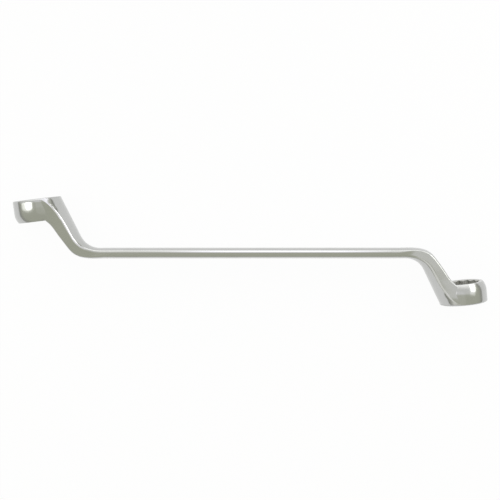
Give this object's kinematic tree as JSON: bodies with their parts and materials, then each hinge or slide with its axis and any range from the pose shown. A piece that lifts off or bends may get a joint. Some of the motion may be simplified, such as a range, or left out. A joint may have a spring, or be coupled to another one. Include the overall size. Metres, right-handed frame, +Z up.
{
  "type": "ring spanner",
  "caption": "Deep-offset ring spanner: a slim forged bar with a closed, multi-point ring carried on a cranked swan neck at either end.",
  "frame": {"origin": "On the bench under the middle of the spanner, which lies on its side, resting on the rims of both rings.", "axes": "+X along the shank from the 19 mm head to the 18 mm head, +Y the way the 19 mm head's working face looks, +Z up off the bench."},
  "size_m": [0.3008, 0.0696, 0.0288],
  "materials": {
    "spanner": "bright plating over a smooth forging, satin on the bar's narrow sides"
  },
  "bodies": {
    "root": {"spanner": "spanner"}
  },
  "joints": []
}
